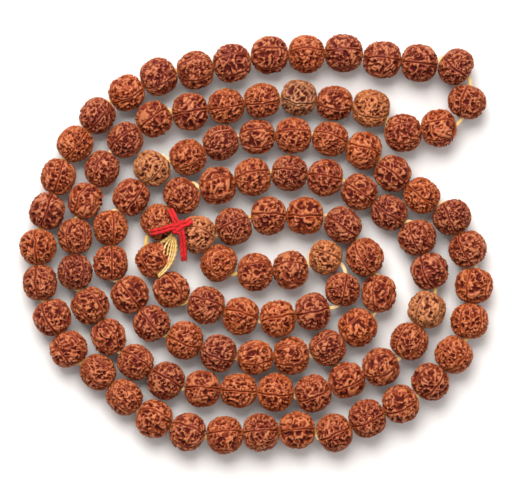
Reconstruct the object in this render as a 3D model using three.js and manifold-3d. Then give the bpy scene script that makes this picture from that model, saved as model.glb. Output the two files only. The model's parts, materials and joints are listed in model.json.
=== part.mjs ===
// A mala of 108 seed beads and one guru bead, strung on a cotton cord and laid in a flat double spiral.
// Millimetres, +Z up. The beads rest on the plane Z = 0, round the middle of the lay.
//
// The beads are strung in order from the guru bead, in groups of one, two or three. The beads of a
// group lie in line, joined by a short sleeve where their mouths meet, and turn together on the cord.
// Beads at a sharp bend turn alone. Every piece that turns does so about its own local X axis, at its
// own local origin.

import * as THREE from 'three';
import { mergeVertices } from 'three/addons/utils/BufferGeometryUtils.js';
import Module from 'manifold-3d';

// Driving dimensions
const BEAD_DIAMETER = 7.8; // across the corners of the belly
const BEAD_LENGTH = 7.2; // from mouth to mouth, along the hole
const BORE_DIAMETER = 2.2;
const SLEEVE_WALL = 0.5; // of the short sleeve that joins two beads of a group
const CORD_DIAMETER = 0.8;
const GURU_DIAMETER = 7.8;
const GURU_LENGTH = 7.6;
const THREAD_DIAMETER = 0.7; // the red thread, tied round the knot
const KNOT_DIAMETER = 2.0;
const KNOT_LENGTH = 3.2; // from its top to its underside
const KNOT_SINK = 0.5; // how far the knot's middle lies below the tops of the beads
const CLEARANCE = 0.3; // between pieces that touch

// Facets
const BEAD_SIDES = 10;
const CORD_SIDES = 8;
const KNOT_SIDES = 10;
const RING_STEPS = 20;
const TAIL_STEPS = 6;

// Shares of a bead's own half length and radius, for the corners of its outline
const BELLY_SHARE = 0.26;
const SHOULDER_LENGTH_SHARE = 0.71;
const SHOULDER_RADIUS_SHARE = 0.75;

const PITCH = BEAD_DIAMETER + CLEARANCE; // from one bead's middle to the next along the strand
const SLACK = 1.15; // the most that two neighbours stand apart on the cord, in pitches
const SETTLE_ROUNDS = 400;

// The lay of the strand, chosen by hand: the guru bead, then the middle of each group of beads in turn,
// in pitches from the middle of the lay, and the number of beads in the group.
const LAY = [
  // the guru bead and the inner curl of the first half
  [-1.6, 0.2, 1], [-0.7, 0.4, 1], [0.8, 0.7, 2], [2.3, 0.4, 1], [2.95, -0.45, 1], [3.3, -1.4, 1],
  [2.3, -2.65, 2], [0.4, -3.15, 2], [-1.55, -2.85, 2], [-3.15, -1.8, 2], [-3.95, -0.1, 2],
  [-3.1, 1.55, 2], [-1.4, 2.5, 2],
  // out to the widest turn
  [0.5, 2.85, 2], [2.4, 2.6, 2], [4.05, 1.6, 2], [5.5, 0.25, 2], [5.85, -1.7, 2], [5, -3.5, 2],
  [2.9, -4.8, 3], [0.05, -5.2, 3], [-2.25, -4.95, 2], [-3.95, -3.9, 2], [-5.3, -2.5, 2],
  [-5.9, -0.65, 2], [-5.6, 1.25, 2], [-4.7, 3, 2], [-3.15, 4.3, 2], [-1.2, 4.8, 2],
  // round the far end
  [1.35, 5.15, 3], [3.95, 4.95, 2], [5.45, 4.8, 1], [5.75, 3.85, 1],
  // back beside the first half
  [4.5, 3.05, 2], [2.1, 3.8, 3], [-0.9, 3.7, 3], [-3.2, 3.05, 2], [-4.45, 1.55, 2], [-4.9, -0.4, 2],
  [-4.25, -2.2, 2], [-2.9, -3.5, 2], [-0.6, -4.05, 3], [2.45, -3.8, 3], [4.4, -2.3, 2],
  [4.55, -0.35, 2], [3.15, 1.1, 2], [1.4, 1.8, 2],
  // the inner curl of the second half, back to the guru bead
  [-0.6, 1.65, 2], [-2.4, 0.9, 2], [-2.6, -0.9, 2], [-0.9, -1.9, 2], [1.05, -2, 2], [2.3, -1.35, 1],
  [1.85, -0.4, 1], [0.45, -0.8, 2], [-1.05, -0.6, 1],
];

// The knot lies in the notch between the guru bead and this bead
const KNOT_NEIGHBOUR = 97;

// The tails of the cord and the ends of the thread, in pitches from the knot's middle
const LONG_TAIL = [
  [-0.07, -0.25, -0.17], [0.0, -0.44, -0.16], [-0.1, -0.74, -0.17], [-0.25, -1.04, -0.18],
  [-0.5, -1.37, -0.18],
];
const SHORT_TAIL = [
  [0.0, 0.0, -0.02], [-0.1, -0.14, -0.17], [-0.28, -0.31, -0.19], [-0.48, -0.42, -0.22],
];
const THREAD_ENDS = [
  [[-0.13, 0.33, 0.0], [-0.22, 0.49, 0.0]],
  [[-0.38, -0.07, 0.06], [-0.74, -0.16, 0.03]],
  [[0.36, 0.19, 0.03]],
  [[0.14, -0.52, -0.05], [0.16, -0.9, -0.22]],
];

const wasm = await Module();
wasm.setup();

// ---------------------------------------------------------------- solids and materials

function toManifold(geometry) {
  const bare = geometry.clone();
  bare.deleteAttribute('normal');
  bare.deleteAttribute('uv');
  const merged = mergeVertices(bare, 1e-4);
  const vertProperties = new Float32Array(merged.attributes.position.array);
  const triVerts = new Uint32Array(merged.index.array);
  return new wasm.Manifold(new wasm.Mesh({ numProp: 3, vertProperties, triVerts }));
}

function toGeometry(manifold) {
  const mesh = manifold.getMesh();
  const geometry = new THREE.BufferGeometry();
  geometry.setAttribute('position', new THREE.BufferAttribute(new Float32Array(mesh.vertProperties), 3));
  geometry.setIndex(new THREE.BufferAttribute(new Uint32Array(mesh.triVerts), 1));
  geometry.computeVertexNormals();
  return geometry;
}

function joined(geometries) {
  return toGeometry(geometries.map(toManifold).reduce((whole, piece) => whole.add(piece)));
}

const seed = new THREE.MeshStandardMaterial({ color: 0x9c4a2a, roughness: 0.55, metalness: 0 });
const guruSeed = new THREE.MeshStandardMaterial({ color: 0xa8623c, roughness: 0.55, metalness: 0 });
const cotton = new THREE.MeshStandardMaterial({ color: 0xe0bd84, roughness: 0.9, metalness: 0 });
const redThread = new THREE.MeshStandardMaterial({ color: 0xc01015, roughness: 0.8, metalness: 0 });

// ---------------------------------------------------------------- the lay of the beads

// Beads that lie closer than they can push each other apart, the cord holds neighbours together, and
// the beads of a group stay in line. All distances are in pitches.
function spread(places, groups) {
  for (let i = 0; i < places.length - 1; i += 1) {
    for (let j = i + 1; j < places.length; j += 1) {
      const strung = j - i === 1 || j - i === places.length - 1;
      const apart = places[j].clone().sub(places[i]);
      const distance = apart.length();
      const nearest = groups[i] === groups[j] ? j - i : 1;
      const farthest = groups[i] === groups[j] ? j - i : strung ? SLACK : Infinity;
      const wanted = Math.min(Math.max(distance, nearest), farthest);
      const shift = apart.multiplyScalar((wanted - distance) / distance / 2);
      places[j].add(shift);
      places[i].sub(shift);
    }
  }
}

// The plan positions of the guru bead and of every group's beads, in millimetres: one list per group.
function layBeads() {
  const corners = LAY.map(([x, y]) => new THREE.Vector3(x, y, 0));
  const strand = new THREE.CatmullRomCurve3(corners, true);
  const places = [];
  const groups = [];
  LAY.forEach(([, , count], group) => {
    const along = strand.getTangent(group / LAY.length);
    for (let bead = 0; bead < count; bead += 1) {
      places.push(corners[group].clone().addScaledVector(along, bead - (count - 1) / 2));
      groups.push(group);
    }
  });
  for (let round = 0; round < SETTLE_ROUNDS; round += 1) spread(places, groups);
  places.forEach((place) => place.multiplyScalar(PITCH));
  return LAY.map((_, group) => places.filter((place, i) => groups[i] === group));
}

// ---------------------------------------------------------------- beads

// Half of a bead's outline, from its mouth to its belly: points (distance along the hole, radius).
function halfOutline(length, diameter, mouthRadius) {
  const half = length / 2;
  const radius = diameter / 2;
  return [
    [-half, mouthRadius],
    [-half * SHOULDER_LENGTH_SHARE, radius * SHOULDER_RADIUS_SHARE],
    [-half * BELLY_SHARE, radius],
  ];
}

const shifted = (points, distance) => points.map(([along, radius]) => [along + distance, radius]);
const mirrored = (points) => points.map(([along, radius]) => [-along, radius]).reverse();

// A solid turned about the X axis, with one flat side facing down.
function turned(outline, sides) {
  const profile = [...outline, outline[0]].map(([along, radius]) => new THREE.Vector2(radius, along));
  const geometry = new THREE.LatheGeometry(profile, sides, Math.PI / sides);
  return geometry.rotateZ(-Math.PI / 2);
}

// A row of beads one pitch apart, with a sleeve of their own bore wherever two mouths meet.
function beadRow(count, length, diameter, boreDiameter) {
  const [mouth, shoulder, belly] = halfOutline(length, diameter, boreDiameter / 2);
  const sleeveRadius = boreDiameter / 2 + SLEEVE_WALL;
  const share = (sleeveRadius - mouth[1]) / (shoulder[1] - mouth[1]);
  const sleeve = [mouth[0] + share * (shoulder[0] - mouth[0]), sleeveRadius];
  const outline = [];
  for (let bead = 0; bead < count; bead += 1) {
    const left = [bead === 0 ? mouth : sleeve, shoulder, belly];
    const right = mirrored([bead === count - 1 ? mouth : sleeve, shoulder, belly]);
    outline.push(...shifted([...left, ...right], PITCH * (bead - (count - 1) / 2)));
  }
  return turned(outline, BEAD_SIDES);
}

// The height of a bead's axis when one of its flat sides lies on the table.
const restHeight = (diameter) => (diameter / 2) * Math.cos(Math.PI / BEAD_SIDES);

function placed(name, geometry, material, position, heading) {
  const mesh = new THREE.Mesh(geometry, material);
  mesh.name = name;
  mesh.position.copy(position);
  mesh.rotation.z = heading;
  return mesh;
}

const headingOf = (vector) => Math.atan2(vector.y, vector.x);
const number = (bead) => String(bead).padStart(3, '0');

// ---------------------------------------------------------------- the cord

// A run of straight stretches, with a section at every corner.
class StraightRuns extends THREE.Curve {
  constructor(corners) {
    super();
    this.corners = corners;
  }

  cornerAt(share) {
    return Math.round(share * (this.corners.length - 1));
  }

  getPointAt(share, target = new THREE.Vector3()) {
    return target.copy(this.corners[this.cornerAt(share)]);
  }

  getTangentAt(share, target = new THREE.Vector3()) {
    const at = this.cornerAt(share);
    const before = this.corners[Math.max(at - 1, 0)];
    const after = this.corners[Math.min(at + 1, this.corners.length - 1)];
    return target.subVectors(after, before).normalize();
  }
}

function tube(corners, diameter, sides = CORD_SIDES) {
  const section = new THREE.Shape();
  for (let side = 0; side < sides; side += 1) {
    const angle = (2 * Math.PI * side) / sides;
    const x = (diameter / 2) * Math.cos(angle);
    const y = (diameter / 2) * Math.sin(angle);
    if (side === 0) section.moveTo(x, y);
    else section.lineTo(x, y);
  }
  section.closePath();
  const path = new StraightRuns(corners);
  return new THREE.ExtrudeGeometry(section, { steps: corners.length - 1, extrudePath: path });
}

// A smooth tube through a few points.
function bentTube(points, diameter, steps) {
  const route = new THREE.CatmullRomCurve3(points.map((point) => new THREE.Vector3(...point)));
  return tube(route.getSpacedPoints(steps), diameter);
}

// Where the cord bends between two beads: where their axes cross, if that is close, or else just past
// each mouth, or half way where the mouths face each other.
function bendsBetween(from, to) {
  const start = from.middle.clone().addScaledVector(from.axis, from.halfLength);
  const end = to.middle.clone().addScaledVector(to.axis, -to.halfLength);
  const apart = end.clone().sub(start);
  const turn = from.axis.clone().cross(to.axis).z;
  const ahead = apart.clone().cross(to.axis).z / turn;
  const back = from.axis.clone().cross(apart).z / turn;
  const near = 2 * CORD_DIAMETER;
  if (ahead > 0 && back > 0 && ahead < near && back < near) {
    return [start.addScaledVector(from.axis, ahead)];
  }
  const reach = Math.min(CORD_DIAMETER / 2 + CLEARANCE, apart.length() / 2);
  start.addScaledVector(from.axis, reach);
  end.addScaledVector(to.axis, -reach);
  return start.distanceTo(end) < CLEARANCE ? [start.lerp(end, 0.5)] : [start, end];
}

// Both ends of the cord go through the guru bead side by side, and stop just under the knot.
function cordCorners(guru, strung, knot) {
  const sideways = new THREE.Vector3(-guru.axis.y, guru.axis.x, 0);
  const spread = (CORD_DIAMETER + CLEARANCE) / 2;
  const strand = (side, direction) => ({
    middle: guru.middle.clone().addScaledVector(sideways, side * spread),
    axis: guru.axis.clone().multiplyScalar(direction),
    halfLength: guru.halfLength,
  });
  const outward = strand(1, 1);
  const inward = strand(-1, -1);
  const pastMouth = guru.halfLength + CORD_DIAMETER / 2 + CLEARANCE;
  const behind = (run) => run.middle.clone().addScaledVector(guru.axis, -pastMouth);
  const underKnot = (side) => knot.clone().addScaledVector(sideways, side * spread)
    .setZ(knot.z - KNOT_LENGTH / 2 - CLEARANCE);
  const bends = [outward, ...strung, inward].slice(0, -1)
    .flatMap((piece, i) => bendsBetween(piece, [...strung, inward][i]));
  return [underKnot(1), behind(outward), ...bends, behind(inward), underKnot(-1)];
}

// ---------------------------------------------------------------- the knot, the tails and the red thread

const fromPitches = ([x, y, z]) => [x * PITCH, y * PITCH, z * PITCH];

// The cord's knot, with the shorter tail that it holds.
function knotGeometry() {
  const lump = new THREE.SphereGeometry(KNOT_DIAMETER / 2, KNOT_SIDES, KNOT_SIDES - 2);
  lump.rotateX(Math.PI / 2).scale(1, 1, KNOT_LENGTH / KNOT_DIAMETER);
  const tail = bentTube(SHORT_TAIL.map(fromPitches), CORD_DIAMETER, TAIL_STEPS);
  return joined([lump, tail]);
}

// One turn of thread round the knot's waist, and the ends that stick out of it.
function threadGeometry() {
  const ringRadius = (KNOT_DIAMETER + THREAD_DIAMETER) / 2 + CLEARANCE;
  const ring = new THREE.TorusGeometry(ringRadius, THREAD_DIAMETER / 2, CORD_SIDES, RING_STEPS);
  const ends = THREAD_ENDS.map((points) => {
    const [x, y] = points[0];
    const onRing = new THREE.Vector2(x, y).setLength(ringRadius);
    return bentTube([[onRing.x, onRing.y, 0], ...points.map(fromPitches)], THREAD_DIAMETER, TAIL_STEPS);
  });
  return joined([ring, ...ends]);
}

// ---------------------------------------------------------------- the whole mala

function buildMala() {
  const strand = new THREE.Group();
  const [[guruPlace], ...groups] = layBeads();
  const along = (heading) => new THREE.Vector3(Math.cos(heading), Math.sin(heading), 0);
  const firstBead = groups[0][0];
  const lastBead = groups[groups.length - 1][0];

  const guruHeading = headingOf(firstBead.clone().add(lastBead).multiplyScalar(0.5).sub(guruPlace));
  const guruMiddle = guruPlace.clone().setZ(restHeight(GURU_DIAMETER));
  const guruBore = (2 * CORD_DIAMETER + 5 * CLEARANCE) / Math.cos(Math.PI / BEAD_SIDES);
  const guruGeometry = beadRow(1, GURU_LENGTH, GURU_DIAMETER, guruBore);
  strand.add(placed('guru_bead', guruGeometry, guruSeed, guruMiddle, guruHeading));
  const guruMouth = guruPlace.clone().addScaledVector(along(guruHeading), GURU_LENGTH / 2);

  // A group of two or three lies along its own line. A bead alone faces half way between its neighbours.
  const headingFor = (beads, i) => {
    if (beads.length > 1) return headingOf(beads[beads.length - 1].clone().sub(beads[0]));
    const before = i === 0 ? guruMouth : groups[i - 1][groups[i - 1].length - 1];
    const after = i === groups.length - 1 ? guruMouth : groups[i + 1][0];
    const arriving = beads[0].clone().sub(before).normalize();
    const leaving = after.clone().sub(beads[0]).normalize();
    return headingOf(arriving.add(leaving));
  };

  const rows = [1, 2, 3].map((count) => beadRow(count, BEAD_LENGTH, BEAD_DIAMETER, BORE_DIAMETER));
  let next = 1;
  const strung = groups.map((beads, i) => {
    const numbers = beads.map((_, bead) => number(next + bead));
    next += beads.length;
    const middle = beads[0].clone().add(beads[beads.length - 1]).multiplyScalar(0.5);
    middle.setZ(restHeight(BEAD_DIAMETER));
    const heading = headingFor(beads, i);
    const name = beads.length > 1 ? `beads_${numbers[0]}_${numbers.at(-1)}` : `bead_${numbers[0]}`;
    strand.add(placed(name, rows[beads.length - 1], seed, middle, heading));
    return { middle, axis: along(heading), halfLength: ((beads.length - 1) * PITCH + BEAD_LENGTH) / 2 };
  });

  const knot = guruPlace.clone().lerp(groups.flat()[KNOT_NEIGHBOUR - 1], 0.5)
    .setZ(BEAD_DIAMETER - KNOT_SINK);
  const guru = { middle: guruMiddle, axis: along(guruHeading), halfLength: GURU_LENGTH / 2 };
  const cord = tube(cordCorners(guru, strung, knot), CORD_DIAMETER);
  strand.add(placed('cord', cord, cotton, new THREE.Vector3(), 0));
  strand.add(placed('cord_knot', knotGeometry(), cotton, knot, 0));
  strand.add(placed('red_thread', threadGeometry(), redThread, knot, 0));
  strand.add(longTail(knot));

  const box = new THREE.Box3().setFromObject(strand, true);
  const centre = box.getCenter(new THREE.Vector3());
  strand.position.set(-centre.x, -centre.y, -box.min.z);
  const mala = new THREE.Group();
  mala.add(strand);
  return mala;
}

// The longer tail lifts about its root, so its own Y axis runs from the root towards its end.
function longTail(knot) {
  const points = LONG_TAIL.map((point) => new THREE.Vector3(...fromPitches(point)));
  const root = points[0].clone();
  const run = points[points.length - 1].clone().sub(root);
  const heading = headingOf(run) - Math.PI / 2;
  const local = points.map((point) => point.sub(root).toArray());
  const geometry = bentTube(local, CORD_DIAMETER, TAIL_STEPS).rotateZ(-heading);
  return placed('cord_tail', geometry, cotton, root.add(knot), heading);
}

export default buildMala();
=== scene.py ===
# %% [markdown]
# # A mala of rudraksha seeds
# A mala is a loop of 108 prayer beads, with one more, the guru bead, where the two ends of the cord
# come together. These beads are dried rudraksha seeds. The strand lies in a flat double spiral.
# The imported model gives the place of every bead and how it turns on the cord. This lesson gives each
# seed its carved look, makes the cotton cord, the knot and the red thread, and lights them.

import json
import math

import bmesh
import bpy
import numpy as np
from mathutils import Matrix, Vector, noise


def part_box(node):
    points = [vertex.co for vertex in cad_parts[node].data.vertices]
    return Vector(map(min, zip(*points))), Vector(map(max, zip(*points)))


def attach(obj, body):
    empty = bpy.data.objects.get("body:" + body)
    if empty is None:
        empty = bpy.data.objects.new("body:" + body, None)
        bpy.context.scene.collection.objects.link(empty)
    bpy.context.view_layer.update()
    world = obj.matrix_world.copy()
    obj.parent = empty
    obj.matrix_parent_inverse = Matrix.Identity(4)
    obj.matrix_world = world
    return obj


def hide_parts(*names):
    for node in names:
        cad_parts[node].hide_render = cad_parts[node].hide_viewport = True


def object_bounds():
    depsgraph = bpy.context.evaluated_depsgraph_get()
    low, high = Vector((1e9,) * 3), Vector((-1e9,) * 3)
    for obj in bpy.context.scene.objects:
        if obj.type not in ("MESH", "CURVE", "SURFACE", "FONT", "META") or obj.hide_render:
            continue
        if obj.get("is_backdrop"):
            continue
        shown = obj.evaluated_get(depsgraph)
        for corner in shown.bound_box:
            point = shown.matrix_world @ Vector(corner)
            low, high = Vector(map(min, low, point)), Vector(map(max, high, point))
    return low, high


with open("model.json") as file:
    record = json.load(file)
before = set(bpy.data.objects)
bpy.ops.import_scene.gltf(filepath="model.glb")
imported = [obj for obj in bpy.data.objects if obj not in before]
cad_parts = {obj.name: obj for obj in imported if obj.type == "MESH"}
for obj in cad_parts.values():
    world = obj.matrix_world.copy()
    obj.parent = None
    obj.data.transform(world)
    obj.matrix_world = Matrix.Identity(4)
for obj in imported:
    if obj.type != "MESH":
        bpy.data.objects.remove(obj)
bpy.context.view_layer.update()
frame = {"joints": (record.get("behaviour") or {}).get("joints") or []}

# %% [markdown]
# ## Where everything is
# Every bead turns about the cord on a hinge, so the hinges already say where each group of beads is
# and which way its hole points. A group's name holds the numbers of its first and last bead. Reading
# these facts from the model is safer than typing them again, because they can't disagree.

# %% Read the strand from its hinges
MM = 0.001
PITCH = 8.1 * MM  # from one bead's middle to the next, inside a group


class Strung:
    """Beads on one body: its name, their numbers, their middles and the direction of their hole."""

    def __init__(self, joint):
        self.body = joint["child"]
        self.middle = Vector(joint["pos_m"])
        self.axis = Vector(joint["axis"]).normalized()
        ends = [int(word) for word in self.body.split("_")[1:] if word.isdigit()] or [0]
        self.numbers = list(range(ends[0], ends[-1] + 1))

    def bead_middles(self):
        count = len(self.numbers)
        return [self.middle + self.axis * PITCH * (i - (count - 1) / 2) for i in range(count)]


hinges = {joint["child"]: joint for joint in frame["joints"]}
guru = Strung(hinges["guru_bead"])
strung = [Strung(joint) for name, joint in hinges.items() if name.startswith("bead")]
strung.sort(key=lambda group: group.numbers[0])
tail_root = Vector(hinges["cord_tail"]["pos_m"])
print("groups", len(strung), "beads", sum(len(group.numbers) for group in strung))

# %% [markdown]
# ## The camera
# The strand is seen from almost straight above. A long lens from far away keeps the beads at the edge
# as round as those in the middle, where a short lens would show them from the side. The camera comes
# first, because every later choice is judged through it.

# %% Make the camera
CAMERA_DISTANCE = 1.2
CAMERA_TILT = math.radians(3)  # off the vertical, towards the near side
SHOWN_WIDTH = 113.6 * MM  # of the table, across the picture
AIM = Vector((0.0, 0.6, 4.0)) * MM
NEAREST_SEEN = 0.01


def make_camera():
    data = bpy.data.cameras.new("camera")
    camera = bpy.data.objects.new("camera", data)
    bpy.context.scene.collection.objects.link(camera)
    camera.location = AIM + Vector((0, -math.sin(CAMERA_TILT), math.cos(CAMERA_TILT))) * CAMERA_DISTANCE
    camera.rotation_euler = (CAMERA_TILT, 0, 0)
    data.angle = 2 * math.atan(SHOWN_WIDTH / 2 / CAMERA_DISTANCE)
    data.clip_start = NEAREST_SEEN
    bpy.context.scene.camera = camera
    return camera


camera = make_camera()
print("camera at", [round(value, 3) for value in camera.location])

# %% [markdown]
# ## Cotton cord
# A mala cord is three thin strands twisted together. It could be a plain tube with a striped bump, but
# the twist also shows at its edge, so the tube has a section with three lobes. A curve object sweeps a
# section along a line, and the tilt of each point turns the section, which makes the twist. Between
# the beads the cord bends gently, so a smooth spline runs through a few points at every bead.

# %% A helper that walks evenly along a smooth line
FINE_STEPS = 12  # between two given points


def spline_point(a, b, c, d, t):
    """A point of a Catmull-Rom spline, t of the way from b to c."""
    slope = (c - a) * t
    bend = (2 * a - 5 * b + 4 * c - d) * t**2
    twist = (3 * b - a - 3 * c + d) * t**3
    return (2 * b + slope + bend + twist) / 2


def smooth_line(points, step):
    """Points a step apart on a smooth line through the given points."""
    corners = [2 * points[0] - points[1], *points, 2 * points[-1] - points[-2]]
    fine = []
    for a, b, c, d in zip(corners, corners[1:], corners[2:], corners[3:]):
        fine += [spline_point(a, b, c, d, i / FINE_STEPS) for i in range(FINE_STEPS)]
    fine.append(points[-1].copy())
    lengths = np.array([(q - p).length for p, q in zip(fine, fine[1:])])
    along = np.concatenate([[0], np.cumsum(lengths)])
    count = max(int(round(along[-1] / step)), 3)
    wanted = np.linspace(0, along[-1], count + 1)
    axes = [np.interp(wanted, along, [point[k] for point in fine]) for k in range(3)]
    return [Vector(values) for values in zip(*axes)]


# %% Helpers that sweep a twisted section along lines
SECTION_POINTS = 15
TAPER_POINTS = 3  # how many points at each end of a line are thinner
WELD_DISTANCE = 1e-6


def lobed_section(name, diameter, lobes, depth):
    """A closed curve like a clover leaf, to be swept along a line."""
    data = bpy.data.curves.new(name, "CURVE")
    data.dimensions = "2D"
    spline = data.splines.new("POLY")
    spline.points.add(SECTION_POINTS - 1)
    for i, point in enumerate(spline.points):
        angle = 2 * math.pi * i / SECTION_POINTS
        radius = diameter / 2 * (1 - depth + depth * math.cos(lobes * angle))
        point.co = (radius * math.cos(angle), radius * math.sin(angle), 0, 1)
    spline.use_cyclic_u = True
    section = bpy.data.objects.new(name, data)
    bpy.context.scene.collection.objects.link(section)
    return section


def add_twisted_line(data, line, lay_length, ends):
    """One strand, which turns once in every lay_length."""
    spline = data.splines.new("POLY")
    spline.points.add(len(line) - 1)
    travelled = 0.0
    for i, (point, place) in enumerate(zip(spline.points, line)):
        travelled += (place - line[i - 1]).length if i else 0.0
        point.co = (*place, 1)
        point.tilt = 2 * math.pi * travelled / lay_length
        from_end = min(i, len(line) - 1 - i) / TAPER_POINTS
        point.radius = ends + (1 - ends) * min(from_end, 1)


def swept(name, lines, diameter, lay_length, lobes=3, depth=0.16, ends=1.0):
    """One mesh of twisted strands, one along each line. ends is the width left at both ends."""
    section = lobed_section(name + "_section", diameter, lobes, depth)
    data = bpy.data.curves.new(name, "CURVE")
    data.dimensions = "3D"
    data.twist_mode = "MINIMUM"
    data.bevel_mode = "OBJECT"
    data.bevel_object = section
    data.use_fill_caps = True
    for line in lines:
        add_twisted_line(data, line, lay_length, ends)
    curve = bpy.data.objects.new(name, data)
    bpy.context.scene.collection.objects.link(curve)
    mesh = bpy.data.meshes.new_from_object(curve.evaluated_get(bpy.context.evaluated_depsgraph_get()))
    bpy.data.objects.remove(curve)
    bpy.data.objects.remove(section)
    return finished(name, mesh)


def finished(name, mesh):
    """A piece whose faces are welded, smooth and facing outwards."""
    shape = bmesh.new()
    shape.from_mesh(mesh)
    bmesh.ops.remove_doubles(shape, verts=shape.verts, dist=WELD_DISTANCE)
    bmesh.ops.recalc_face_normals(shape, faces=shape.faces)
    for face in shape.faces:
        face.smooth = True
    shape.to_mesh(mesh)
    shape.free()
    piece = bpy.data.objects.new(name, mesh)
    bpy.context.scene.collection.objects.link(piece)
    return piece


# %% [markdown]
# ## The cord's way through the beads
# The cord leaves the knot, goes down the back of the guru bead and through it, along all 108 beads and
# back through the guru bead beside itself. It is straight inside each group and bends between groups.

# %% Sweep the cord
CORD_DIAMETER = 0.95 * MM
CORD_LAY = 3.2 * MM  # the length of one full twist
CORD_STEP = 0.5 * MM
GROUP_END = 3.4 * MM  # from an end bead's middle to where its straight stretch ends
GURU_BACK = 4.94 * MM  # from the guru bead's middle to where the cord turns up to the knot
HALF_APART = 0.55 * MM  # between the two strands in the guru bead, half the distance
TAIL_ROOT = Vector((-0.57, -2.03, -1.38)) * MM  # from the knot's middle
knot_middle = tail_root - TAIL_ROOT
knot_foot = Vector((knot_middle.x, knot_middle.y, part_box("cord")[1].z))


def through_guru(aside):
    """From the knot down behind the guru bead and through it, a little to one side."""
    places = [guru.middle - guru.axis * GURU_BACK, guru.middle, guru.middle + guru.axis * GROUP_END]
    return [knot_foot + aside] + [place + aside for place in places]


def cord_route():
    aside = Vector((-guru.axis.y, guru.axis.x, 0)) * HALF_APART
    route = through_guru(aside)
    for group in strung:
        middles = group.bead_middles()
        route.append(middles[0] - group.axis * GROUP_END)
        route.extend(middles)
        route.append(middles[-1] + group.axis * GROUP_END)
    return route + through_guru(-aside)[::-1]


cord_line = smooth_line(cord_route(), CORD_STEP)
cord = swept("cotton_cord", [cord_line], CORD_DIAMETER, CORD_LAY)
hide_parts("cord")
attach(cord, "strand")
cord_length = sum((b - a).length for a, b in zip(cord_line, cord_line[1:]))
print("cord", round(cord_length, 3), "m,", len(cord.data.polygons), "faces")

# %% [markdown]
# ## A seed, before it is carved
# Every bead starts from one smooth seed with a hole through it. A sphere of rings crowds its faces at
# the poles. A cube cut into small squares and puffed up to a sphere spreads them evenly, so the ridges
# come out as sharp at the hole as at the belly. The faces round both poles are taken away and the two
# rims joined by a tunnel, which is the drilled hole. The tunnel's faces take their direction from the
# rims, so they already face out of the seed. Recalculating them here would turn the seed inside out,
# which the sign of its volume shows.

# %% Make the smooth seed
SEED_CUTS = 34
HOLE_RADIUS = 0.72 * MM
SEED_RADIUS = 4.05 * MM  # of a middling seed, at the tops of the ridges
SEED_HALF_LENGTH = 4.05 * MM  # from its middle to the rim of its hole
SHOULDER = 0.13  # how much fuller than a ball the seed is near its poles


def smooth_seed():
    shape = bmesh.new()
    bmesh.ops.create_cube(shape, size=2)
    bmesh.ops.subdivide_edges(shape, edges=shape.edges, cuts=SEED_CUTS - 1, use_grid_fill=True)
    for vert in shape.verts:
        even = Vector([math.tan(value * math.pi / 4) for value in vert.co])
        vert.co = even.normalized()
    hole = HOLE_RADIUS / SEED_RADIUS
    mouth = [face for face in shape.faces if face.calc_center_median().yz.length < hole]
    bmesh.ops.delete(shape, geom=mouth, context="FACES")
    rims = [edge for edge in shape.edges if edge.is_boundary]
    for vert in {vert for edge in rims for vert in edge.verts}:
        ring = vert.co.yz.normalized() * hole
        vert.co = Vector((vert.co.x, ring.x, ring.y))
    bmesh.ops.bridge_loops(shape, edges=rims)
    for face in shape.faces:
        face.smooth = True
    print("smooth seed's volume, with its sign", round(shape.calc_volume(signed=True), 3))
    mesh = bpy.data.meshes.new("smooth_seed")
    shape.to_mesh(mesh)
    shape.free()
    return mesh


seed_mesh = smooth_seed()
seed_points = np.zeros(len(seed_mesh.vertices) * 3)
seed_mesh.vertices.foreach_get("co", seed_points)
seed_points = seed_points.reshape(-1, 3)
print("smooth seed", len(seed_mesh.vertices), "points", len(seed_mesh.polygons), "faces")

# %% [markdown]
# ## The carving
# A rudraksha seed has five deep lines from pole to pole, each between two smooth lips, and between the
# lines a net of worm-like ridges round dark pits. This could be painted as a bump, but the ridges also
# make the seed's outline knobbly, so the points themselves move. Smooth noise crosses zero along
# winding closed lines. A ridge raised along those lines, for two noises at once, gives the net.
# The height is kept on each point as an attribute, so that the colour can follow it. Every noise is
# read at a place of its own, found from the bead's number, so no two beads are carved alike.

# %% Helpers for noise


def smoothstep(low, high, values):
    t = np.clip((values - low) / (high - low), 0, 1)
    return t * t * (3 - 2 * t)


def noise_at(points, scale, shift):
    return np.array([noise.noise(Vector(point) * scale + shift) for point in points])


# %% Raise the net of ridges
RIDGE_SCALE = 2.2  # of the net: a larger number makes finer ridges
RIDGE_DEPTH = 0.78 * MM
SCALE_SPREAD = 0.25  # how much finer or coarser one seed's net is than the next
SECOND_SCALE = 1.35  # of the second net, compared with the first
BREAK_SCALE = 1.8  # of the breaks in the ridges, compared with the first net
KNOB_SCALE = 2.4
STRETCH = np.array([1.25, 1.0, 1.0])  # the net is finer along the hole than round it
WARP = 0.22  # how far the nets are pulled out of line, as a share of the radius
WARP_SCALE = 2.3
THINNESS = (10.5, 9.5)  # of the ridges of the two nets: a larger number makes them thinner
NET_LOW, NET_HIGH = -1.3, 0.4  # where a slope leaves the pit and where it reaches the ridge
BREAK_WIDTH = 0.18
BREAK_HEIGHT = 0.3  # how much of a ridge is left in a break
KNOB_LOW, KNOB_HIGH = -0.05, 0.35
PIT_HEIGHT = 0.05
KNOB_HEIGHT = 0.6


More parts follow.
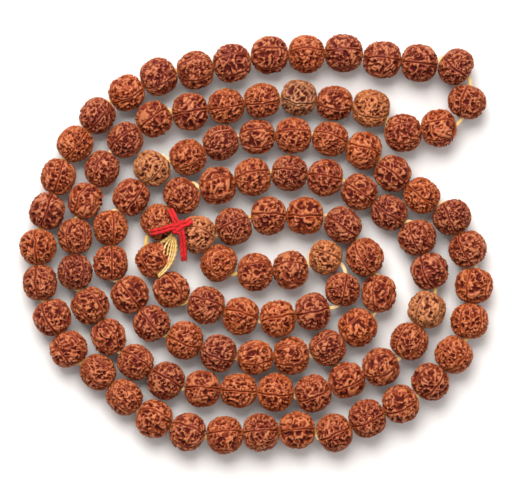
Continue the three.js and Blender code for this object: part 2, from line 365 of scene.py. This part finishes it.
def ridge_net(points, number, shift):
    """Two nets of winding ridges, broken here and there, with knobs in the pits."""
    warp = WARP * noise_at(points, WARP_SCALE, shift + Vector((9, 4, 2)))[:, None]
    scale = RIDGE_SCALE * (1 + SCALE_SPREAD * math.sin(number * 1.7))
    first = np.abs(noise_at(points * STRETCH + warp, scale, shift))
    second = np.abs(noise_at(points * STRETCH - warp, scale * SECOND_SCALE, shift + Vector((20, 0, 5))))
    net = smoothstep(NET_LOW, NET_HIGH, np.maximum(1 - THINNESS[0] * first, 1 - THINNESS[1] * second))
    breaks = np.abs(noise_at(points + warp, scale * BREAK_SCALE, shift + Vector((3, 8, 40))))
    net *= BREAK_HEIGHT + (1 - BREAK_HEIGHT) * smoothstep(0.0, BREAK_WIDTH, breaks)
    lumps = noise_at(points, scale * KNOB_SCALE, shift + Vector((31, 2, 7)))
    knobs = smoothstep(KNOB_LOW, KNOB_HIGH, lumps)
    return np.maximum(net, PIT_HEIGHT + KNOB_HEIGHT * knobs)


# %% Cut the lines and smooth the collars round the hole
FACES = 5
LINE_FLOOR, LINE_BANK = 0.0105, 0.063  # the foot and top of its bank, as shares of the radius
LINE_HEIGHT = 0.35  # how much of the height is left in a line
LINE_WANDER = 0.10
WANDER_SCALE = 2.0
LIP_TOP, LIP_FOOT = 0.066, 0.1375  # where the smooth lip beside a line starts to fall and ends
LIP_HEIGHT = 0.8
COLLAR_INSIDE, COLLAR_OUTSIDE = 0.2, 0.36  # where the smooth rim round the hole fades and ends


def from_nearest_line(points, belly, number, shift):
    """The distance round the seed to the nearest of its lines, which wander a little."""
    wander = LINE_WANDER * noise_at(points, WANDER_SCALE, shift + Vector((0, 30, 0)))
    turn = np.arctan2(points[:, 2], points[:, 1]) + wander + number * 2.4
    nearest = np.abs((turn / (2 * np.pi) * FACES + 0.5) % 1 - 0.5) * 2 * np.pi / FACES
    return nearest * belly


def carving(points, number):
    """The height, from 0 in a pit to 1 on a ridge, at unit points round a seed with its own number."""
    shift = Vector((number * 7.31 % 50, number * 3.17 % 50, number * 11.9 % 50))
    net = ridge_net(points, number, shift)
    belly = np.sqrt(np.clip(1 - points[:, 0] ** 2, 0, 1))
    from_line = from_nearest_line(points, belly, number, shift)
    lip = 1 - smoothstep(LIP_TOP, LIP_FOOT, from_line)
    height = net * (1 - lip) + np.maximum(net, LIP_HEIGHT) * lip
    bank = smoothstep(LINE_FLOOR, LINE_BANK, from_line)
    height *= LINE_HEIGHT + (1 - LINE_HEIGHT) * bank
    collar = smoothstep(COLLAR_INSIDE, COLLAR_OUTSIDE, belly)
    return height * collar + 1 - collar


test_heights = carving(seed_points, 1)
print("carving from", round(test_heights.min(), 2), "to", round(test_heights.max(), 2))

# %% [markdown]
# ## Carved beads
# No two seeds are alike. A bead's number sets its carving and how round it is, so the same bead comes
# out each time. Seeds are sorted by length when they are strung, but some are fatter than others. Here
# a bead is as fat as the beads of the next row leave it room to turn, between two limits, and reaches
# half way to the next bead on the cord. Beads of one group turn together, so they are one piece.

# %% Find how fat and how long every bead can be
SLIMMEST = 4.0 * MM
FATTEST = 4.4 * MM
LONGEST = 4.6 * MM
strand_middles = [guru.middle] + [middle for group in strung for middle in group.bead_middles()]
strand_axes = [guru.axis] + [group.axis for group in strung for _ in group.numbers]


def shoulder_stretch(along):
    """How much a place from -1 to 1 along the hole moves outwards, to fill the seed near its poles."""
    return 1 + SHOULDER * (1 - along**4)


NEARBY = 1.3  # seeds further apart than this, in diameters of the fattest, can't touch
outline = np.linspace(0.02, 0.98, 49)
outline_along = outline * shoulder_stretch(outline)
outline_across = np.sqrt(1 - outline**2)


def room_towards(number, other):
    """Half the distance to another bead, and how far its direction is along and across the hole."""
    way = strand_middles[other] - strand_middles[number]
    along = way.normalized().dot(strand_axes[number])
    return way.length / 2, abs(along), math.sqrt(max(1 - along**2, 0))


def seed_radius(number):
    """As fat as the beads of other rows leave room, with each seed keeping to its half of the way."""
    count = len(strand_middles)
    radius = FATTEST
    for steps_away in range(2, count - 1):
        half, along, across = room_towards(number, (number + steps_away) % count)
        if half < FATTEST * NEARBY and across > along:
            left = half - SEED_HALF_LENGTH * outline_along * along
            radius = min(radius, np.min(left / (outline_across * across)))
    return max(radius, SLIMMEST)


def seed_reach(number, step):
    """How far a seed goes towards its neighbour on the cord: half way, less where the cord bends."""
    if number == 0:
        return SEED_HALF_LENGTH  # the knot is behind the guru bead
    half, along, across = room_towards(number, (number + step) % len(strand_middles))
    left = half - radii[number] * outline_across * across
    return min(np.min(left / (outline_along * along)), LONGEST)


radii = [seed_radius(number) for number in range(len(strand_middles))]
reaches = [(seed_reach(number, -1), seed_reach(number, 1)) for number in range(len(strand_middles))]
shortest, longest = min(map(min, reaches)), max(map(max, reaches))
print("bead radius from", round(min(radii) / MM, 2), "to", round(max(radii) / MM, 2), "mm")
print("half length from", round(shortest / MM, 2), "to", round(longest / MM, 2), "mm")

# %% Carve the beads of a group into one piece
LUMP_DEPTH = 0.3 * MM  # how far a seed is from perfectly round
LUMP_SCALE = 1.1
LUMP_SHARE = 0.3  # a larger number makes more of the seed sink in


def carved_points(number, middle, axis):
    height = carving(seed_points, number)
    lumps = noise_at(seed_points, LUMP_SCALE, Vector((number * 5.7 % 40, 0, 3)))
    along = seed_points[:, 0]
    sunk = np.clip(LUMP_SHARE - lumps, 0, 1) * (1 - along**2)
    depth = RIDGE_DEPTH * (1 - height) + LUMP_DEPTH * sunk
    size = np.full(seed_points.shape, radii[number])
    size[:, 0] = np.where(along < 0, *reaches[number])
    placed = seed_points * (size - depth[:, None])
    placed[:, 0] *= shoulder_stretch(along)
    across = Vector((0, 0, 1)).cross(axis)
    turn = np.array([axis, across, Vector((0, 0, 1))])
    return placed @ turn + np.array(middle), height


def carved_beads(name, numbers, middles, axis):
    shape = bmesh.new()
    for _ in numbers:
        shape.from_mesh(seed_mesh)
    mesh = bpy.data.meshes.new(name)
    shape.to_mesh(mesh)
    shape.free()
    parts = [carved_points(n, middle, axis) for n, middle in zip(numbers, middles)]
    mesh.vertices.foreach_set("co", np.concatenate([points for points, _ in parts]).ravel())
    heights = np.concatenate([height for _, height in parts]).astype(np.float32)
    mesh.attributes.new("height", "FLOAT", "POINT").data.foreach_set("value", heights)
    tones = np.repeat([tone_of(n) for n in numbers], len(seed_points), axis=0).astype(np.float32)
    mesh.attributes.new("tone", "FLOAT_COLOR", "POINT").data.foreach_set("color", tones.ravel())
    mesh.update()
    piece = bpy.data.objects.new(name, mesh)
    bpy.context.scene.collection.objects.link(piece)
    return piece


# %% [markdown]
# ## The colours of the seeds
# Most seeds are orange brown, some redder and darker from handling, and a few are tan or olive where
# the seed dried pale. The colour of a bead's ridges is kept as an attribute of its points. Noise with
# the bead's number as its place gives every bead a slight difference of its own.

# %% Choose the colour of every bead
RED_BROWN = (0.19, 0.024, 0.008)
BRIGHT_ORANGE = (0.37, 0.068, 0.010)
TAN = (0.45, 0.185, 0.070)
YELLOW_BROWN = (0.44, 0.150, 0.045)
OLIVE = (0.25, 0.120, 0.055)
LIGHT_TAN = (0.46, 0.165, 0.062)
SPECIAL_TONES = {
    0: LIGHT_TAN, 18: TAN, 64: YELLOW_BROWN, 66: OLIVE, 87: TAN, 105: YELLOW_BROWN, 108: BRIGHT_ORANGE,
    4: RED_BROWN, 20: RED_BROWN, 57: RED_BROWN, 60: RED_BROWN, 90: RED_BROWN,
}
HUE_SPREAD = 1.1
BRIGHTNESS_SPREAD = 0.25


def tone_of(number):
    if number in SPECIAL_TONES:
        return (*SPECIAL_TONES[number], 1.0)
    share = 0.5 + HUE_SPREAD * noise.noise(Vector((number * 0.77, 3.3, 1.9)))
    share = min(max(share, 0.0), 1.0)
    brightness = 1 + BRIGHTNESS_SPREAD * noise.noise(Vector((1.7, number * 0.91, 8.2)))
    tone = [a + (b - a) * share for a, b in zip(RED_BROWN, BRIGHT_ORANGE)]
    return (*[value * brightness for value in tone], 1.0)


# %% Carve all 108 beads
bead_pieces = []
for group in strung:
    piece = carved_beads("carved_" + group.body, group.numbers, group.bead_middles(), group.axis)
    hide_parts(group.body)
    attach(piece, group.body)
    bead_pieces.append(piece)
print("bead pieces", len(bead_pieces), "faces", sum(len(p.data.polygons) for p in bead_pieces))

# %% [markdown]
# ## The guru bead
# The guru bead is one more seed of the same kind, a lighter one. It hangs below the loop when the mala
# is worn, and both ends of the cord go through it. It is carved in the same way.

# %% Carve the guru bead
guru_piece = carved_beads("carved_guru_bead", [0], [guru.middle], guru.axis)
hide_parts("guru_bead")
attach(guru_piece, "guru_bead")
print("guru bead at", [round(value * 1000, 1) for value in guru.middle], "mm")

# %% [markdown]
# ## The knot
# Behind the guru bead the two ends of the cord are tied together. A knot could be sculpted as a lump,
# but a real one is cord wound over itself, so the same twisted cord is swept along a small trefoil, the
# simplest closed knot. The shorter end of the cord comes out of it and lies over the next bead.

# %% Tie the knot
KNOT_SIZE = 0.42 * MM
KNOT_WIDTH_SHARE = 0.8
KNOT_HEIGHT_SHARE = 1.6
KNOT_POINTS = 48
KNOT_STRAND = 0.9 * MM
KNOT_LAY = 2.4 * MM
KNOT_STEP = 0.2 * MM
SHORT_TAIL = [(0.0, 0.0, -0.2), (-0.9, -1.1, -1.3), (-2.2, -2.4, -1.5), (-3.8, -3.3, -1.8)]


def from_knot(points):
    """Points given in millimetres from the knot's middle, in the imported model's place."""
    return [knot_middle + Vector(point) * MM for point in points]


def trefoil():
    points = []
    for i in range(KNOT_POINTS):
        t = 2 * math.pi * i / (KNOT_POINTS - 1)
        x = KNOT_WIDTH_SHARE * (math.sin(t) + 2 * math.sin(2 * t))
        y = KNOT_WIDTH_SHARE * (math.cos(t) - 2 * math.cos(2 * t))
        z = -KNOT_HEIGHT_SHARE * math.sin(3 * t)
        points.append(knot_middle + Vector((x, y, z)) * KNOT_SIZE)
    return points


short_tail = smooth_line(from_knot(SHORT_TAIL), KNOT_STEP)
knot = swept("tied_knot", [trefoil(), short_tail], KNOT_STRAND, KNOT_LAY, ends=0.75)
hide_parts("cord_knot")
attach(knot, "strand")
print("knot", len(knot.data.polygons), "faces")

# %% [markdown]
# ## The longer tail of the cord
# The longer end lies loose over the next beads, and its plies have come apart. Each ply is a thin
# twisted strand. They leave the knot together, part on the way and meet again near the tip, which a
# plain tube can't do.

# %% Sweep the loose plies
TAIL_LINE = [
    (-0.6, -1.95, -1.3), (-0.3, -3.3, -1.3), (-0.25, -4.9, -1.3), (-0.65, -6.5, -1.35),
    (-1.9, -8.8, -1.4), (-4.1, -11.0, -1.4),
]
PLIES = 8
PLY_DIAMETER = 0.52 * MM
PLY_LAY = 2.0 * MM
PLY_STEP = 0.25 * MM
BUNDLE_WIDTH = 0.5  # in millimetres from here on, as TAIL_LINE is
LAYER_HEIGHT = 0.25
SAG_ASIDE = 2.3
SAG_UPWARDS = 0.5
TIP_SHORTER = 0.8


def ply_line(ply):
    """The way of one ply. The first ones keep together, the last ones sag to the inside of the bend."""
    looseness = (ply / (PLIES - 1)) ** 2.6
    layer = LAYER_HEIGHT * (ply % 3 - 0.8)
    points = []
    for i, (x, y, z) in enumerate(TAIL_LINE):
        along = i / (len(TAIL_LINE) - 1)
        sag = looseness * math.sin(math.pi * min(along * 1.1, 1))
        x -= SAG_ASIDE * sag + BUNDLE_WIDTH * ply / PLIES
        y += TIP_SHORTER * looseness * along
        z += SAG_UPWARDS * sag + layer
        points.append((x, y, z))
    return smooth_line(from_knot(points), PLY_STEP)


ply_lines = [ply_line(i) for i in range(PLIES)]
tail = swept("loose_tail", ply_lines, PLY_DIAMETER, PLY_LAY, lobes=2, ends=0.6)
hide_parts("cord_tail")
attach(tail, "cord_tail")
print("tail", len(tail.data.polygons), "faces")

# %% [markdown]
# ## The red thread
# A red thread is wound round the knot and tied, and its doubled ends stick out. Each end is two fine
# strands side by side, so two lines are swept a little apart.

# %% Wind and tie the red thread
THREAD_DIAMETER = 0.85 * MM
THREAD_LAY = 2.6 * MM
THREAD_STEP = 0.3 * MM
THREAD_ENDS = [
    [(0.3, 0.4, 0.7), (-0.5, 1.6, 0.9), (-1.1, 2.9, 0.55), (-1.7, 4.0, 0.1)],
    [(0.4, 0.2, 0.9), (-1.4, 0.0, 0.95), (-3.3, -0.6, 0.7), (-6.0, -1.2, 0.3)],
    [(0.0, -0.3, 0.7), (1.3, 0.6, 0.9), (2.3, 1.1, 0.75), (3.1, 1.6, 0.5)],
    [(0.4, 0.4, 0.8), (0.9, -1.5, 0.6), (1.2, -4.0, -0.4), (1.4, -7.3, -1.7)],
]
CROSSING = [(-1.3, -0.9, -0.2), (-0.6, -0.5, 0.9), (0.7, 0.5, 1.1), (1.5, 1.1, 0.4)]
WINDING_MIDDLE = Vector((-0.1, 0.0, 0.25))
WINDING_TURNS = 2
WINDING_RADIUS = 1.15
WINDING_HEIGHT = 1.2
TURN_POINTS = 16


def winding():
    """A short coil round the knot, level with the table."""
    points = []
    for i in range(TURN_POINTS * WINDING_TURNS + 1):
        angle = 2 * math.pi * i / TURN_POINTS
        outwards = Vector((math.cos(angle), math.sin(angle), 0)) * WINDING_RADIUS
        rise = WINDING_HEIGHT * (i / TURN_POINTS / WINDING_TURNS - 0.5)
        points.append(WINDING_MIDDLE + outwards + Vector((0, 0, rise)))
    return points


def side_by_side(points, apart=0.36):
    """Two lines side by side along the given points, level with the table."""
    run = Vector(points[-1]) - Vector(points[0])
    aside = Vector((-run.y, run.x, 0)).normalized() * apart
    return [[Vector(point) + aside * side for point in points] for side in (-1, 1)]


thread_runs = [winding(), *side_by_side(CROSSING, apart=0.5)]
for end in THREAD_ENDS:
    thread_runs += side_by_side(end)
thread_lines = [smooth_line(from_knot(run), THREAD_STEP) for run in thread_runs]
thread = swept("tied_red_thread", thread_lines, THREAD_DIAMETER, THREAD_LAY, lobes=2, depth=0.1, ends=0.8)
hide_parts("red_thread")
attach(thread, "strand")
print("red thread", len(thread.data.polygons), "faces")

# %% [markdown]
# ## The finish of the seeds
# The pits of a seed stay dull, the ridges are a little shiny. The height kept on the points picks the
# colour: dark maroon low down, partly the seed's own and partly painted shade, the bead's own tone on
# the ridges, and a paler tone on the highest places, partly wear and partly a painted highlight. Fine
# noise adds the grain, in colour and as a small bump.

# %% Helpers for materials


def new_material(name):
    material = bpy.data.materials.new(name)
    material.use_nodes = True
    nodes = material.node_tree.nodes
    return material, nodes, material.node_tree.links, nodes["Principled BSDF"]


def fine_noise(nodes, links, scale, detail=3.0):
    """Noise on Object coordinates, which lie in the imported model's own metres."""
    place = nodes.new("ShaderNodeTexCoord")
    texture = nodes.new("ShaderNodeTexNoise")
    texture.inputs["Scale"].default_value = scale
    texture.inputs["Detail"].default_value = detail
    links.new(place.outputs["Object"], texture.inputs["Vector"])
    return texture.outputs["Fac"]


def attribute(nodes, name):
    node = nodes.new("ShaderNodeAttribute")
    node.attribute_name = name
    return node


def mixed(nodes, links, share, first, second):
    """A colour between first and second. Each may be a socket or a plain colour, share a socket too."""
    node = nodes.new("ShaderNodeMix")
    node.data_type = "RGBA"
    for socket, value in ((0, share), (6, first), (7, second)):
        if isinstance(value, bpy.types.NodeSocket):
            links.new(value, node.inputs[socket])
        else:
            node.inputs[socket].default_value = value
    return node.outputs[2]


def ramp(nodes, links, factor, low, high, first=0.0, last=1.0):
    """A number that goes from first to last as factor goes from low to high."""
    node = nodes.new("ShaderNodeMapRange")
    node.interpolation_type = "SMOOTHSTEP"
    links.new(factor, node.inputs["Value"])
    for name, value in (("From Min", low), ("From Max", high), ("To Min", first), ("To Max", last)):
        node.inputs[name].default_value = value
    return node.outputs["Result"]


def bumped(nodes, links, shader, factor, distance, strength=1.0):
    bump = nodes.new("ShaderNodeBump")
    bump.inputs["Distance"].default_value = distance
    bump.inputs["Strength"].default_value = strength
    links.new(factor, bump.inputs["Height"])
    links.new(bump.outputs["Normal"], shader.inputs["Normal"])


# %% Paint the seeds
# Pits and line floors are dark maroon: partly the seed's own colour, partly painted shade.
PIT_AND_SHADE_COLOUR = (0.070, 0.006, 0.004, 1)
DARK_PATCH = (0.20, 0.035, 0.020, 1)
# The paler tone of the highest places: partly wear, partly a painted highlight.
WEAR_AND_HIGHLIGHT_COLOUR = (0.64, 0.255, 0.115, 1)
WEAR_AND_HIGHLIGHT_FROM = 0.62  # the height above which a ridge is paler: partly wear, partly a painted highlight
PIT_EDGE, RIDGE_EDGE = 0.12, 0.88  # the heights between which a pit's colour turns into the ridge's
GRAIN_SCALE = 2600
GRAIN_SHARE = 0.45
GRAIN_DEPTH = 0.06 * MM
PATCH_SCALE = 380
PATCH_SHARE = 0.22
DULL, POLISHED = 0.9, 0.32  # the roughness of the pits and of the ridges


def seed_colour(nodes, links, height, grain, wear_and_highlight_share):
    """The bead's tone with darker grain and patches, paler on top: partly wear, partly painted highlight.
    """
    tone = attribute(nodes, "tone").outputs["Color"]
    patch = fine_noise(nodes, links, PATCH_SCALE, 2)
    grainy = ramp(nodes, links, grain, 0.35, 0.7, last=GRAIN_SHARE)
    grained = mixed(nodes, links, grainy, tone, (*RED_BROWN, 1))
    # The highest places turn paler: worn ridges with a painted highlight.
    wear_and_highlight_mask = ramp(nodes, links, height, WEAR_AND_HIGHLIGHT_FROM, 1.0, last=wear_and_highlight_share)
    lit = mixed(nodes, links, wear_and_highlight_mask, grained, WEAR_AND_HIGHLIGHT_COLOUR)
    patchy = ramp(nodes, links, patch, 0.35, 0.65, last=PATCH_SHARE)
    return mixed(nodes, links, patchy, lit, DARK_PATCH)


def seed_material(name, wear_and_highlight_share=0.5):
    material, nodes, links, shader = new_material(name)
    height = attribute(nodes, "height").outputs["Fac"]
    grain = fine_noise(nodes, links, GRAIN_SCALE)
    ridge = seed_colour(nodes, links, height, grain, wear_and_highlight_share)
    # Low places take the pit colour, which is partly painted shade; the ridges take the bead's tone.
    raised = ramp(nodes, links, height, PIT_EDGE, RIDGE_EDGE)
    links.new(mixed(nodes, links, raised, PIT_AND_SHADE_COLOUR, ridge), shader.inputs["Base Color"])
    links.new(ramp(nodes, links, height, 0.2, 0.9, DULL, POLISHED), shader.inputs["Roughness"])
    shader.inputs["Specular IOR Level"].default_value = 0.2
    bumped(nodes, links, shader, grain, GRAIN_DEPTH, 0.6)
    return material


seed_finish = seed_material("rudraksha_seed")
# The guru seed gets more of the paler tone, so more wear and more painted highlight.
guru_finish = seed_material("rudraksha_guru_seed", wear_and_highlight_share=0.6)
for piece in bead_pieces:
    piece.data.materials.append(seed_finish)
guru_piece.data.materials.append(guru_finish)
print("seed finishes", seed_finish.name, "and", guru_finish.name)

# %% [markdown]
# ## Cotton and thread
# Both are spun fibre: a soft sheen at the edges, a fine fuzzy grain, and colour that is paler where the
# fibres stand out. The cotton has yellowed a little, in patches. The twist itself is in the shape, so
# the finish only needs noise, at two sizes: fine for the fibres, coarse for the patches.

# %% Paint the cord and the red thread
COTTON = (0.78, 0.60, 0.36, 1)
YELLOWED = (0.66, 0.42, 0.12, 1)
RED = (0.66, 0.004, 0.008, 1)
DEEP_RED = (0.45, 0.003, 0.006, 1)
FIBRE_SCALE = 5200
FIBRE_DEPTH = 0.05 * MM
BETWEEN_FIBRES = 0.72  # how dark the colour is between fibres


def fibre_material(name, light, dark, patch_scale, sheen):
    material, nodes, links, shader = new_material(name)
    fibres = fine_noise(nodes, links, FIBRE_SCALE, 4)
    patches = fine_noise(nodes, links, patch_scale, 2)
    base = mixed(nodes, links, ramp(nodes, links, patches, 0.38, 0.62), light, dark)
    shade = [value * BETWEEN_FIBRES for value in dark[:3]] + [1]
    gaps = ramp(nodes, links, fibres, 0.35, 0.7, last=0.5)
    links.new(mixed(nodes, links, gaps, base, shade), shader.inputs["Base Color"])
    shader.inputs["Roughness"].default_value = 0.85
    shader.inputs["Sheen Weight"].default_value = sheen
    shader.inputs["Sheen Roughness"].default_value = 0.5
    bumped(nodes, links, shader, fibres, FIBRE_DEPTH, 0.8)
    return material


cotton_finish = fibre_material("cotton", COTTON, YELLOWED, patch_scale=300, sheen=0.2)
thread_finish = fibre_material("red_thread_fibre", RED, DEEP_RED, patch_scale=700, sheen=0.03)
for piece in (cord, knot, tail):
    piece.data.materials.clear()
    piece.data.materials.append(cotton_finish)
thread.data.materials.clear()
thread.data.materials.append(thread_finish)
print("fibre finishes", cotton_finish.name, "and", thread_finish.name)

# %% [markdown]
# ## The table and the light
# The strand lies on a plain pale table, level with the lowest ridge of the fattest seed, so nothing
# sinks in. One large soft light from the far side gives each bead a bright upper edge and a soft shadow
# below it, and an even, slightly warm surround keeps the pits from going black.

# %% Lay the floor
FLOOR_SIZE = 3.0
PALE_GREY = (0.76, 0.76, 0.78, 1)
PALER_GREY = (0.79, 0.79, 0.81, 1)


def make_floor():
    shape = bmesh.new()
    bmesh.ops.create_grid(shape, x_segments=1, y_segments=1, size=FLOOR_SIZE / 2)
    mesh = bpy.data.meshes.new("floor")
    shape.to_mesh(mesh)
    shape.free()
    floor = bpy.data.objects.new("floor", mesh)
    bpy.context.scene.collection.objects.link(floor)
    floor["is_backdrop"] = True
    floor.location.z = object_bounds()[0].z
    material, nodes, links, shader = new_material("pale_table")
    mottle = fine_noise(nodes, links, 12)
    links.new(mixed(nodes, links, mottle, PALE_GREY, PALER_GREY), shader.inputs["Base Color"])
    shader.inputs["Roughness"].default_value = 0.7
    mesh.materials.append(material)
    return floor


floor = make_floor()
print("table", round(floor.location.z * 1000, 2), "mm from the packed model's underside")

# %% Hang the lights
SURROUND = 0.46
SURROUND_COLOUR = (1.0, 0.96, 0.92, 1)
LAMP_COLOUR = (1.0, 0.96, 0.90)


def area_light(name, place, size, power):
    data = bpy.data.lights.new(name, "AREA")
    data.size = size
    data.energy = power
    data.color = LAMP_COLOUR
    light = bpy.data.objects.new(name, data)
    bpy.context.scene.collection.objects.link(light)
    light.location = place
    light.rotation_euler = (-Vector(place)).to_track_quat("-Z", "Y").to_euler()
    return light


def hang_lights():
    area_light("key_light", place=(-0.12, 0.55, 0.80), size=0.75, power=16.5)
    area_light("fill_light", place=(0.4, -0.10, 0.9), size=0.8, power=2.0)
    world = bpy.data.worlds.new("surround")
    world.use_nodes = True
    world.node_tree.nodes["Background"].inputs["Color"].default_value = SURROUND_COLOUR
    world.node_tree.nodes["Background"].inputs["Strength"].default_value = SURROUND
    bpy.context.scene.world = world
    bpy.context.scene.view_settings.view_transform = "Standard"


hang_lights()
print("lights", [light.name for light in bpy.data.lights])
